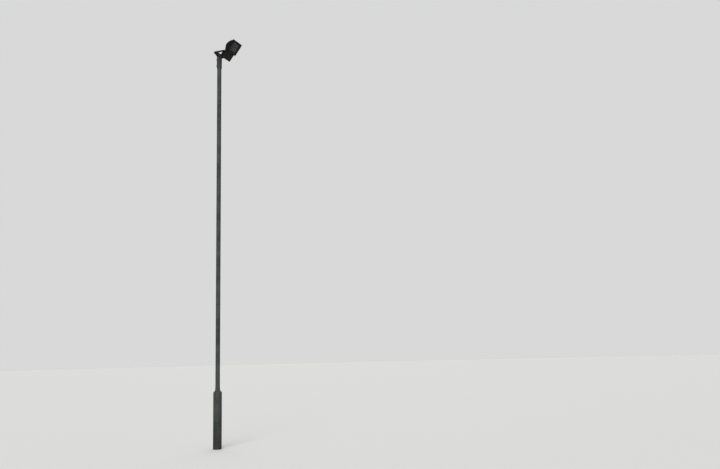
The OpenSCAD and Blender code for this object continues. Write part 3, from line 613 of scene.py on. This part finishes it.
boltRow = {"rear": -0.035, "spread": 0.022, "plateFront": -0.022, "nutHigh": 0.0096,
           "boltTurn": 11, "nutTurn": 7}
boltPlaces = [facing((boltRow["rear"], side * boltRow["spread"], pivot.z), (-1, 0, 0),
                     boltRow["boltTurn"] * side) for side in sides]
bolts = spread(makeBolt(boltSizes["stirrup"]), boltPlaces, "stirrupBolts")
finished(bolts, "stirrupBoltsTurned", "bracket", "bolt_steel", ["stirrup_bolts"])

nutPlaces = [facing((boltRow["plateFront"], side * boltRow["spread"], pivot.z), (1, 0, 0),
                    boltRow["nutTurn"] * side) for side in sides]
nuts = spread(makeNut(boltSizes["stirrup"], boltRow["nutHigh"]), nutPlaces, "stirrupNuts")
finished(nuts, "stirrupNutsTurned", "bracket", "bolt_steel", ["stirrup_nuts"])

pivotRow = {"armFace": 0.1643, "turn": 17}
pivotBolt = makeBolt(boltSizes["pivot"])
for end, side in zip(("near", "far"), sides):
    spot = (pivot.x, side * pivotRow["armFace"], pivot.z)
    bolt = copied(pivotBolt, facing(spot, (0, side, 0), pivotRow["turn"] * side))
    finished(bolt, end + "PivotBoltTurned", "lamp", "bolt_steel", [end + "_pivot_bolt"])
bpy.data.objects.remove(pivotBolt)

screwRings = {"heights": {"upper": 7.948, "lower": 7.817}, "firstTurn": -30.0, "bossFace": 0.05895,
              "count": 3, "turn": 23}


# Where the boss of each set screw in a ring ends, looking out from the column
def screwPlaces(height):
    places = []
    for number in range(screwRings["count"]):
        angle = math.radians(screwRings["firstTurn"] + number * 360 / screwRings["count"])
        way = Vector((math.cos(angle), math.sin(angle), 0))
        spot = way * screwRings["bossFace"] + Vector((0, 0, height))
        places.append(facing(spot, way, screwRings["turn"] * number))
    return places


for ring, height in screwRings["heights"].items():
    screws = spread(makeBolt(boltSizes["setScrew"]), screwPlaces(height), "screws")
    finished(screws, ring + "SetScrewsTurned", "bracket", "bolt_steel", [ring + "_set_screws"])

print("soft-edged castings, plates and tubes")

bodyOf = {node: body for body, nodes in frame["record"]["behaviour"]["bodies"].items() for node in nodes}
slotOf = {part["node"]: part["material_slot"] for part in frame["record"]["subparts"]}


# A copy of a node's mesh in the node's place, merged, freed of flat seams and soft-edged
def softCopy(node, width, segments, angle, smoothAngle):
    piece = bpy.data.objects.new(node + "Soft", frame["nodes"][node].data.copy())
    bpy.context.scene.collection.objects.link(piece)
    mergedFlats(piece, mergeWithin["cad"])
    softenEdges(piece, width, segments, angle)
    smoothed(piece, smoothAngle, True)
    return finished(piece, node + "Soft", bodyOf[node], slotOf[node], [node])


# For each node: the bevel's width, its segments, the angle of an edge, and what stays smooth
softEdges = {
    "lamp_housing": (0.0012, 2, 48.0, 30.0), "front_frame": (0.0011, 3, 30.0, 40.0),
    "stirrup": (0.0009, 2, 40.0, 40.0), "mounting_plate": (0.0009, 2, 40.0, 40.0),
    "near_gusset": (0.0006, 2, 40.0, 40.0), "far_gusset": (0.0006, 2, 40.0, 40.0),
    "gear_cover": (0.0008, 2, 40.0, 40.0), "sleeve_cap": (0.0010, 2, 40.0, 40.0),
    "base_door": (0.0007, 2, 50.0, 35.0), "door_lock": (0.0004, 2, 50.0, 35.0),
    "door_tongue": (0.0004, 2, 50.0, 35.0), "hinge_lugs": (0.0005, 2, 50.0, 35.0),
    "hinge_pins": (0.0004, 2, 50.0, 35.0),
}
for node, settings in softEdges.items():
    softCopy(node, *settings)

sleeveForm = {"bore": 0.04795, "radius": 0.05295, "low": 7.765, "high": 8.000, "lip": 0.0010,
              "lipRound": 0.3, "steps": 128}
bossForm = {"radius": 0.010, "bore": 0.0052, "short": 0.001, "edge": 0.0008, "boreEdge": 0.0004,
            "weld": [(0.0030, 0.0016), (0.0012, 0.0026), (0.0, 0.0046)], "steps": 48}


# A turned boss with its face at height 0 and a fillet weld round its foot
def makeBoss(form, sleeve):
    radius, bore = form["radius"], form["bore"]
    foot = sleeve["bore"] + form["short"] - screwRings["bossFace"]
    wall = sleeve["radius"] - screwRings["bossFace"]
    weld = [(radius + across, wall + out) for across, out in form["weld"]]
    profile = [(bore, foot), (weld[0][0], foot)] + weld
    profile += [(radius, -form["edge"]), (radius - form["edge"], 0), (bore + form["boreEdge"], 0),
                (bore, -form["boreEdge"]), (bore, foot)]
    return smoothed(turnedPiece(profile, form["steps"]), smoothUnder["rim"])


# The sleeve as a turned tube with a rounded lower lip, and a boss under each screw
def makeSleeve(form):
    bore, radius, lip, low, high = (form[key] for key in ("bore", "radius", "lip", "low", "high"))
    bend = lip * form["lipRound"]
    profile = [(bore, low + lip), (bore + bend, low + bend), (bore + lip, low), (radius - lip, low),
               (radius - bend, low + bend), (radius, low + lip), (radius, high), (bore, high),
               (bore, low + lip)]
    tube = smoothed(turnedPiece(profile, form["steps"]), smoothUnder["round"])
    places = [place for height in screwRings["heights"].values() for place in screwPlaces(height)]
    return joined([tube, spread(makeBoss(bossForm, form), places, "bosses")], "sleeve")


finished(makeSleeve(sleeveForm), "bracketSleeveTurned", "bracket", "galvanised", ["bracket_sleeve"])

print("weld beads")

beadLook = {"ripple": 0.0045, "swell": 0.00035, "rise": 0.7, "steps": 10, "cycle": 3,
            "end": [(0.0, 0.75), (0.55, 0.6), (0.9, 0.25)]}


# Of every three rings of a bead one is let in and the next stands out, as the scale marks of a weld
def rippled(bead, ringOf):
    openMesh(bead)
    for number, push in enumerate((-beadLook["swell"], beadLook["swell"] * beadLook["rise"])):
        pick(bead, lambda vertex: round(ringOf(vertex.co)) % beadLook["cycle"] == number)
        bpy.ops.transform.shrink_fatten(value=push)
    return smoothed(closeMesh(bead), smoothUnder["bead"])


def ringBead(major, minor, height):
    count = beadLook["cycle"] * round(2 * math.pi * major / beadLook["ripple"])
    selectNothing()
    bpy.ops.mesh.primitive_torus_add(major_radius=major, minor_radius=minor, major_segments=count,
                                     minor_segments=beadLook["steps"], location=(0, 0, 0))
    bead = rippled(bpy.context.object, lambda spot: math.atan2(spot.y, spot.x) / (2 * math.pi) * count)
    return placed(bead, Matrix.Translation((0, 0, height)))


# A straight bead from one point to another with rounded ends
def straightBead(start, end, minor):
    length = (end - start).length
    count = beadLook["cycle"] * max(2, round(length / beadLook["ripple"]))
    profile = [(minor * across, -minor * past) for across, past in beadLook["end"]]
    profile += [(minor, length * number / count) for number in range(count + 1)]
    profile += [(minor * across, length + minor * past) for across, past in reversed(beadLook["end"])]
    bead = rippled(turnedPiece(profile, beadLook["steps"]), lambda spot: spot.z / length * count)
    return placed(bead, facing(start, end - start))


# For each piece: its body, its finish, and each ring's radius, thickness and height
ringBeads = {
    "baseWeld": ("column", "galvanised", [(0.0802, 0.0035, 1.0828), (0.0465, 0.0035, 1.155)]),
    "capWeld": ("bracket", "galvanised", [(0.0522, 0.0030, 8.000)]),
}
for name, (body, slot, rings) in ringBeads.items():
    finished(joined([ringBead(*ring) for ring in rings], name), name, body, slot)

plateSeams = {"rear": -0.030, "front": -0.022, "height": 8.006, "half": 0.041, "minor": 0.0024,
              "gusset": 0.029, "gussetHalf": 0.0025, "gussetShare": 0.8, "heel": 0.002, "nose": 0.0395,
              "riserFoot": 0.003, "riserTop": 0.040}


# Beads along both foot edges of the plate, and along the foot and the back of each gusset
def makePlateWelds(form):
    height, half, front = form["height"], form["half"], form["front"]
    thin = form["minor"] * form["gussetShare"]
    seams = []
    for x in (form["rear"], front):
        seams.append(straightBead(Vector((x, -half, height)), Vector((x, half, height)), form["minor"]))
    for y in [side * form["gusset"] + edge * form["gussetHalf"] for side in sides for edge in sides]:
        seams.append(straightBead(Vector((front + form["heel"], y, height)),
                                  Vector((form["nose"], y, height)), thin))
        seams.append(straightBead(Vector((front, y, height + form["riserFoot"])),
                                  Vector((front, y, height + form["riserTop"])), thin))
    return joined(seams, "seams")


finished(makePlateWelds(plateSeams), "plateWelds", "bracket", "painted_bracket")

print("reflector, lamp and holder")

troughForm = {
    "ends": [(-0.250, 0.026), (-0.187, -0.016), (-0.077, -0.114), (-0.066, 0.026)],
    "flanges": (-0.270, -0.034), "mouthHalf": 0.116, "floorHalf": 0.080, "floor": -0.0481,
    "steps": 52, "cuts": 56, "thick": 0.0010, "dimple": 0.010, "depth": 0.0009,
}


def curvePoint(ends, share):
    rest = 1 - share
    weights = (rest ** 3, 3 * rest ** 2 * share, 3 * rest * share ** 2, share ** 3)
    return tuple(sum(weight * end[axis] for weight, end in zip(weights, ends)) for axis in (0, 1))


# The trough's side outline is drawn across the lamp, and both ends are cut to slope inwards
def drawTrough(form):
    rim, half = form["ends"][0][1], form["mouthHalf"]
    path = [(form["flanges"][0], rim)]
    path += [curvePoint(form["ends"], number / form["steps"]) for number in range(form["steps"] + 1)]
    path += [(form["flanges"][1], form["ends"][3][1])]
    trough = startedAt((path[0][0], -half, path[0][1]))
    for (x, z), (nextX, nextZ) in zip(path, path[1:]):
        drawOn((nextX - x, 0, nextZ - z))
    bpy.ops.mesh.select_all(action="SELECT")
    for number in range(form["cuts"]):
        drawOn((0, 2 * half / form["cuts"], 0))
    slope = (half - form["floorHalf"]) / (rim - form["floor"])
    for side in sides:
        bpy.ops.mesh.select_all(action="SELECT")
        bpy.ops.mesh.bisect(plane_co=(0, side * half, rim), plane_no=(0, side, -slope),
                            clear_outer=True, use_fill=False)
    turnOutwards()
    return closeMesh(trough)


def makeTrough(form):
    trough = drawTrough(form)
    cells = bpy.data.textures.new("hammerMarks", "VORONOI")
    cells.noise_scale, cells.distance_metric = form["dimple"], "DISTANCE"
    finer = trough.modifiers.new("finer", "SUBSURF")
    finer.subdivision_type, finer.levels, finer.render_levels = "SIMPLE", 1, 1
    hammer = trough.modifiers.new("hammered", "DISPLACE")
    hammer.texture, hammer.texture_coords = cells, "LOCAL"
    hammer.strength, hammer.mid_level = form["depth"], 0.0
    sheet = trough.modifiers.new("sheet", "SOLIDIFY")
    sheet.thickness, sheet.offset = form["thick"], 0.0
    applyAll(trough)
    return placed(smoothed(trough, smoothUnder["bead"]), lampPlace)


finished(makeTrough(troughForm), "hammeredTrough", "lamp", "reflector_sheet", ["reflector"])

lampForm = {
    "x": -0.112, "z": -0.012, "holderFace": 0.0598, "radius": 0.018, "length": 0.118, "glass": 0.0011,
    "neck": [(0.0132, 0.0), (0.0134, 0.006), (0.0150, 0.012)], "neckEnd": 0.019, "domeStep": 9, "steps": 56,
}
lampAxis = lampPlace @ facing((lampForm["x"], lampForm["holderFace"], lampForm["z"]), (0, -1, 0))


# The envelope is a closed shell: out along its outside, round the dome and back along its inside
def makeEnvelope(form):
    radius, length, glass = form["radius"], form["length"], form["glass"]
    dome = length - radius
    outer = form["neck"] + [(radius, form["neckEnd"]), (radius, dome)]
    for turn in range(form["domeStep"], 90, form["domeStep"]):
        outer.append((radius * math.cos(math.radians(turn)), dome + radius * math.sin(math.radians(turn))))
    inner = [(max(0.0, across - glass), along - glass * (along > dome)) for across, along in outer]
    profile = outer + [(0.0, length), (0.0, length - glass)] + inner[::-1] + [outer[0]]
    return placed(smoothed(turnedPiece(profile, form["steps"]), smoothUnder["round"]), lampAxis)


finished(makeEnvelope(lampForm), "lampEnvelope", "lamp", "lamp_glass", ["lamp_tube"])

# The lamp's inner parts, as profiles of (radius, place along the lamp)
arcTubeProfile = [(0, 0.036), (0.0016, 0.036), (0.0018, 0.044), (0.0030, 0.047), (0.0058, 0.051),
                  (0.0064, 0.058), (0.0064, 0.072), (0.0058, 0.079), (0.0030, 0.083), (0.0018, 0.086),
                  (0.0016, 0.094), (0, 0.094)]
stemProfile = [(0, 0.0005), (0.0088, 0.0005), (0.0080, 0.006), (0.0046, 0.014), (0.0036, 0.024),
               (0.0030, 0.0255), (0, 0.0255)]
getterProfile = [(0.0142, 0.100), (0.0160, 0.100), (0.0160, 0.103), (0.0142, 0.103), (0.0142, 0.100)]
capRingProfile = [(0.0125, -0.002), (0.0150, -0.002), (0.0152, -0.0012), (0.0152, 0.0045), (0.0146, 0.0052),
                  (0.0138, 0.0054), (0.0125, 0.0048), (0.0125, -0.002)]
holderProfile = [(0.0154, 0.0), (0.0198, 0.0), (0.0206, -0.0006), (0.0210, -0.0016), (0.0210, -0.0080),
                 (0.0202, -0.0088), (0.0202, -0.0112), (0.0210, -0.0120), (0.0210, -0.0240), (0.0203, -0.0254),
                 (0.0190, -0.0260), (0.0, -0.0260), (0.0, -0.0200), (0.0140, -0.0200), (0.0145, -0.0180),
                 (0.0145, -0.0010), (0.0154, 0.0)]
innerSteps = {"arcTube": 40, "ring": 48, "holder": 56}

arcParts = [turnedPiece(profile, innerSteps["arcTube"]) for profile in (arcTubeProfile, stemProfile)]
arcTube = smoothed(joined(arcParts, "arcTube"), smoothUnder["round"])
finished(placed(arcTube, lampAxis), "arcTube", "lamp", "holder_ceramic")

wireForm = {
    "radius": 0.00075, "levels": 2,
    "long": [(0.006, 0, 0.014), (0.0125, 0, 0.026), (0.0135, 0, 0.040), (0.0135, 0, 0.086),
             (0.0120, 0, 0.094), (0.006, 0, 0.0965), (0, 0, 0.094)],
    "short": [(-0.003, 0, 0.016), (-0.003, 0, 0.027), (-0.0005, 0, 0.038)],
}


# A bent round wire through the given points
def wireThrough(points, form):
    wire = startedAt(points[0])
    for first, second in zip(points, points[1:]):
        drawOn(Vector(second) - Vector(first))
    closeMesh(wire)
    skin = wire.modifiers.new("skin", "SKIN")
    skin.use_smooth_shade = True
    for spot in wire.data.skin_vertices[0].data:
        spot.radius = (form["radius"], form["radius"])
    wire.data.skin_vertices[0].data[0].use_root = True
    rounder = wire.modifiers.new("round", "SUBSURF")
    rounder.levels = rounder.render_levels = form["levels"]
    return cleanedMesh(applyAll(wire))


wires = [wireThrough(wireForm[name], wireForm) for name in ("long", "short")]
wires += [smoothed(turnedPiece(profile, innerSteps["ring"]), smoothUnder["rim"])
          for profile in (getterProfile, capRingProfile)]
finished(placed(joined(wires, "wires"), lampAxis), "lampWires", "lamp", "bolt_steel")

holder = placed(smoothed(turnedPiece(holderProfile, innerSteps["holder"]), smoothUnder["rim"]), lampAxis)
finished(holder, "porcelainHolder", "lamp", "holder_ceramic", ["lamp_holder"])

print("screws, gland and grommet")

crownForm = {"edge": 0.0001, "rim": 0.0002, "fullness": 0.55, "turnStep": 11, "lastTurn": 88,
             "slotReach": 1.25, "steps": 40}


# A pan head with a cross slot: its seat stands on height 0
def crossHead(radius, high, slotWide, slotDeep):
    full = crownForm["fullness"]
    crown = [(0, 0), (radius - crownForm["edge"], 0), (radius, crownForm["rim"])]
    for turn in range(0, crownForm["lastTurn"], crownForm["turnStep"]):
        angle = math.radians(turn)
        crown.append((radius * math.cos(angle) ** full, high * (1 - full + full * math.sin(angle))))
    head = turnedPiece(crown + [(0, high)], crownForm["steps"])
    for turn in (0, 90):
        selectNothing()
        bpy.ops.mesh.primitive_cube_add(size=1, location=(0, 0, high), rotation=(0, 0, math.radians(turn)),
                                        scale=(radius * crownForm["slotReach"], slotWide, slotDeep * 2))
        cutWith(head, bpy.context.object)
    return smoothed(cleanedMesh(head), smoothUnder["slotted"])


coverForm = {"x": (0.003, 0.135), "y": 0.131, "seat": 0.031, "turn": 31, "radius": 0.0045, "high": 0.0025,
             "slotWide": 0.0010, "slotDeep": 0.0012}


def makeCoverScrews(form):
    spots = [(x, side * form["y"], form["seat"]) for x in form["x"] for side in sides]
    places = [lampPlace @ facing(spot, (0, 0, 1), form["turn"] * index) for index, spot in enumerate(spots)]
    return spread(crossHead(form["radius"], form["high"], form["slotWide"], form["slotDeep"]), places, "heads")


finished(makeCoverScrews(coverForm), "coverScrewHeads", "lamp", "bolt_steel", ["cover_screws"])

captiveForm = {
    "x": -0.283, "y": 0.100, "low": 0.020, "seat": 0.058, "turn": 40, "head": 0.005, "high": 0.003,
    "slotWide": 0.0012, "slotDeep": 0.0014, "shank": 0.0025, "under": 0.0001, "threaded": 0.018,
    "threadEnd": 0.0006, "pitch": 0.0008, "depth": 0.0004, "tip": 0.0005, "steps": 28,
}


def makeCaptive(form):
    radius, foot = form["shank"], form["low"] - form["seat"]
    threadTop = foot + form["threaded"]
    head = crossHead(form["head"], form["high"], form["slotWide"], form["slotDeep"])
    threads = threadProfile(radius, threadTop, foot + form["threadEnd"], form["pitch"], form["depth"])
    profile = [(0, form["under"]), (radius, form["under"]), (radius, threadTop)] + threads
    shank = turnedPiece(profile + [(radius - form["tip"], foot), (0, foot)], form["steps"])
    return joined([head, smoothed(shank, smoothUnder["round"])], "captive")


captivePlaces = [lampPlace @ facing((captiveForm["x"], side * captiveForm["y"], captiveForm["seat"]),
                                    (0, 0, 1), captiveForm["turn"] * side) for side in sides]
captives = spread(makeCaptive(captiveForm), captivePlaces, "captives")
finished(captives, "captiveScrewsTurned", "glass_frame", "bolt_steel", ["captive_screws"])

glandForm = {
    "place": (0.100, 0.104, -0.056), "bore": 0.00432, "corner": 0.012, "hexHigh": 0.009, "over": 0.001,
    "stem": 0.0072, "stemDeep": 0.008, "domeSteps": 48, "steps": 40, "lip": 0.0286,
    "dome": [(0.0098, 0.009), (0.01056, 0.0098), (0.01056, 0.021), (0.0100, 0.0236), (0.0088, 0.0252),
             (0.00816, 0.0258), (0.00816, 0.0290), (0.0074, 0.0299), (0.0062, 0.0300)],
    "gripAt": (0.0102, 0, 0.0155), "gripSize": (0.0009, 0.0011, 0.010), "gripEdge": 0.0003, "grips": 18,
}


def makeGrips(form):
    selectNothing()
    bpy.ops.mesh.primitive_cube_add(size=1, location=form["gripAt"], scale=form["gripSize"])
    grip = softenEdges(placed(bpy.context.object), form["gripEdge"])
    turns = [number * 2 * math.pi / form["grips"] for number in range(form["grips"])]
    return spread(grip, [Matrix.Rotation(turn, 4, "Z") for turn in turns], "grips")


# The gland along +Z away from its wall: hexagon, dome nut with grips and a rounded lip, and a stem
def makeGland(form):
    bore, hexHigh, over, deep = form["bore"], form["hexHigh"], form["over"], form["stemDeep"]
    hexagon = softenEdges(hexagonHead(form["corner"], 0.0, hexHigh, True), **headEdge)
    dome = [(bore, hexHigh)] + form["dome"] + [(bore, form["lip"]), (bore, hexHigh)]
    nut = smoothed(turnedPiece(dome, form["domeSteps"]), smoothUnder["rim"])
    sleeve = [(bore, 0.0), (bore, -deep), (form["stem"], -deep), (form["stem"], 0.0), (bore, 0.0)]
    stem = smoothed(turnedPiece(sleeve, form["steps"]), smoothUnder["rim"])
    cutWith(hexagon, boreTool(bore, -over, hexHigh + over, form["steps"]))
    return joined([cleanedMesh(hexagon), nut, stem, makeGrips(form)], "gland")


gland = placed(makeGland(glandForm), lampPlace @ facing(glandForm["place"], (0, 0, -1)))
finished(gland, "cableGlandTurned", "lamp", "gland_plastic", ["cable_gland"])

grommetForm = {
    "place": (0.0097, 0, 8.000), "steps": 48,
    "profile": [(0.006, 0.0), (0.0062, 0.0), (0.0088, 0.0), (0.0096, 0.0004), (0.0100, 0.0016),
                (0.0098, 0.0040), (0.0090, 0.0054), (0.0076, 0.0060), (0.0066, 0.0057), (0.0060, 0.0046),
                (0.006, 0.0)],
}
grommet = smoothed(turnedPiece(grommetForm["profile"], grommetForm["steps"]), smoothUnder["round"])
finished(placed(grommet, Matrix.Translation(grommetForm["place"])),
         "cableGrommetLipped", "bracket", "rubber_seal", ["cable_grommet"])

print("camera, floor and light")

cameraLook = {
    "place": (8.180494, -13.404400, 1.75), "heading": 1.9347269, "rise": 8.880987, "roll": -1.339987,
    "lens": 38.5, "sensor": 36.0, "near": 0.1, "far": 400,
}


# Heading is in radians about Z, rise and roll in degrees
def makeCamera(look):
    rise, roll = math.radians(look["rise"]), math.radians(look["roll"])
    ahead = Vector((math.cos(look["heading"]) * math.cos(rise),
                    math.sin(look["heading"]) * math.cos(rise), math.sin(rise)))
    side = ahead.cross(Vector((0, 0, 1))).normalized()
    above = side.cross(ahead)
    right = side * math.cos(roll) + above * math.sin(roll)
    up = above * math.cos(roll) - side * math.sin(roll)
    data = bpy.data.cameras.new("photoCamera")
    data.sensor_width, data.lens = look["sensor"], look["lens"]
    data.clip_start, data.clip_end = look["near"], look["far"]
    camera = bpy.data.objects.new("photoCamera", data)
    bpy.context.scene.collection.objects.link(camera)
    turned = Matrix((right, up, -ahead)).transposed().to_4x4()
    camera.matrix_world = Matrix.Translation(look["place"]) @ turned
    bpy.context.scene.camera = camera


makeCamera(cameraLook)

stageLook = {
    "radius": 180.0, "edges": 128, "drop": 0.001, "floor": screenColour(246, 246, 244),
    "floorPatch": screenColour(242, 242, 240), "sky": screenColour(216, 217, 216), "skyLight": 0.5,
    "skySeen": 1.0,
}


def makeFloor(look):
    selectNothing()
    bpy.ops.mesh.primitive_circle_add(vertices=look["edges"], radius=look["radius"], fill_type="NGON",
                                      location=(0, 0, -look["drop"]))
    floor = bpy.context.object
    floor.name = "studioFloor"
    finish = Finish("studioFloor")
    tone = finish.blend(finish.noise(1.5, 4.0) * 0.1, look["floor"], look["floorPatch"])
    floor.data.materials.append(finish.set(colour=tone, roughness=0.9, specular=0.1))


makeFloor(stageLook)


def addBackground(tree, colour, strength):
    background = tree.nodes.new("ShaderNodeBackground")
    background.inputs["Color"].default_value = colour
    background.inputs["Strength"].default_value = strength
    return background.outputs[0]


# The world lights softly, and shows as a paler backdrop to the camera, in gloss and through glass
def makeWorld(look):
    world = bpy.data.worlds.new("paleStudio")
    bpy.context.scene.world = world
    world.use_nodes = True
    tree = world.node_tree
    tree.nodes.clear()
    path = tree.nodes.new("ShaderNodeLightPath")
    seen = path.outputs["Is Camera Ray"]
    for rayKind in ("Is Glossy Ray", "Is Transmission Ray"):
        either = tree.nodes.new("ShaderNodeMath")
        either.operation, either.use_clamp = "ADD", True
        tree.links.new(seen, either.inputs[0])
        tree.links.new(path.outputs[rayKind], either.inputs[1])
        seen = either.outputs[0]
    mix = tree.nodes.new("ShaderNodeMixShader")
    out = tree.nodes.new("ShaderNodeOutputWorld")
    tree.links.new(seen, mix.inputs["Fac"])
    tree.links.new(addBackground(tree, look["sky"], look["skyLight"]), mix.inputs[1])
    tree.links.new(addBackground(tree, look["sky"], look["skySeen"]), mix.inputs[2])
    tree.links.new(mix.outputs[0], out.inputs["Surface"])


makeWorld(stageLook)

lightLook = {
    "key": {"place": (4.0, -14.0, 13.0), "towards": (0, 0, 5.0), "wide": 30.0, "power": 1.7},
    "fill": {"place": (14.0, -8.0, 10.0), "towards": (0, 0, 5.0), "wide": 60.0, "power": 0.3},
    "back": {"place": (-6.0, 12.0, 13.0), "towards": (0, 0, 5.0), "wide": 60.0, "power": 0.75},
}


def makeStudioLamp(name, look):
    data = bpy.data.lights.new(name, "SUN")
    data.energy, data.angle = look["power"], math.radians(look["wide"])
    lamp = bpy.data.objects.new(name, data)
    bpy.context.scene.collection.objects.link(lamp)
    lamp.location = look["place"]
    way = Vector(look["towards"]) - Vector(look["place"])
    lamp.rotation_euler = way.to_track_quat("-Z", "Y").to_euler()


for lightName, look in lightLook.items():
    makeStudioLamp(lightName + "StudioLamp", look)
bpy.context.scene.view_settings.view_transform = "Standard"

print("done")
